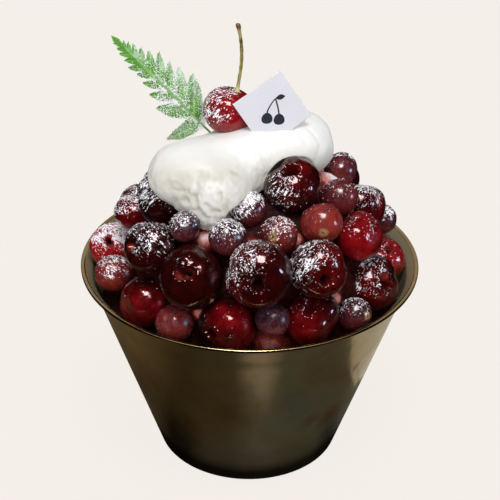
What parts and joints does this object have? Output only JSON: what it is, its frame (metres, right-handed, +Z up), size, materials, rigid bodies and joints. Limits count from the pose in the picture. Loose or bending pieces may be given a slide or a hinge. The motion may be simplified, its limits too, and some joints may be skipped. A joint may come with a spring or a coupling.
{
  "type": "bingsu",
  "caption": "Bowl of shaved ice heaped with sugared cherries and grapes, topped with cream, a whole cherry, a fern leaf and a small card.",
  "frame": {"origin": "centre of the bowl's foot, on the surface it stands on", "axes": "+Z up; -Y towards the serving side, where the fruit shows most; +X to the right seen from there"},
  "size_m": [0.146, 0.146, 0.1963],
  "materials": {
    "bronze_bowl": "brushed, dark",
    "shaved_ice": "granular, wet with syrup",
    "cherry_skin": "glossy, dusted with sugar",
    "grape_skin": "satin, dusted with sugar",
    "whole_cherry_skin": "glossy",
    "stem": "matte",
    "whipped_cream": "satin",
    "card": "matte",
    "leaf": "satin, dusted with sugar"
  },
  "bodies": {
    "root": {"bowl": "bronze_bowl", "card": "card", "cherry_01": "cherry_skin", "cherry_02": "cherry_skin", "cherry_03": "cherry_skin", "cherry_04": "cherry_skin", "cherry_05": "cherry_skin", "cherry_06": "cherry_skin", "cherry_07": "cherry_skin", "cherry_08": "cherry_skin", "cherry_09": "cherry_skin", "cherry_10": "cherry_skin", "cherry_11": "cherry_skin", "cherry_12": "cherry_skin", "cherry_13": "cherry_skin", "cherry_14": "cherry_skin", "cherry_15": "cherry_skin", "cherry_16": "cherry_skin", "cherry_17": "cherry_skin", "cherry_18": "cherry_skin", "cherry_19": "cherry_skin", "cherry_20": "cherry_skin", "cherry_21": "cherry_skin", "cherry_22": "cherry_skin", "cherry_23": "cherry_skin", "cherry_24": "cherry_skin", "cherry_25": "cherry_skin", "cherry_26": "cherry_skin", "cherry_stem": "stem", "cream": "whipped_cream", "fern_leaf": "leaf", "grape_01": "grape_skin", "grape_02": "grape_skin", "grape_03": "grape_skin", "grape_04": "grape_skin", "grape_05": "grape_skin", "grape_06": "grape_skin", "grape_07": "grape_skin", "grape_08": "grape_skin", "grape_09": "grape_skin", "grape_10": "grape_skin", "grape_11": "grape_skin", "grape_12": "grape_skin", "grape_13": "grape_skin", "grape_14": "grape_skin", "grape_15": "grape_skin", "grape_16": "grape_skin", "grape_17": "grape_skin", "grape_18": "grape_skin", "grape_19": "grape_skin", "grape_20": "grape_skin", "grape_21": "grape_skin", "grape_22": "grape_skin", "grape_23": "grape_skin", "shaved_ice": "shaved_ice", "top_cherry": "whole_cherry_skin"}
  },
  "joints": []
}
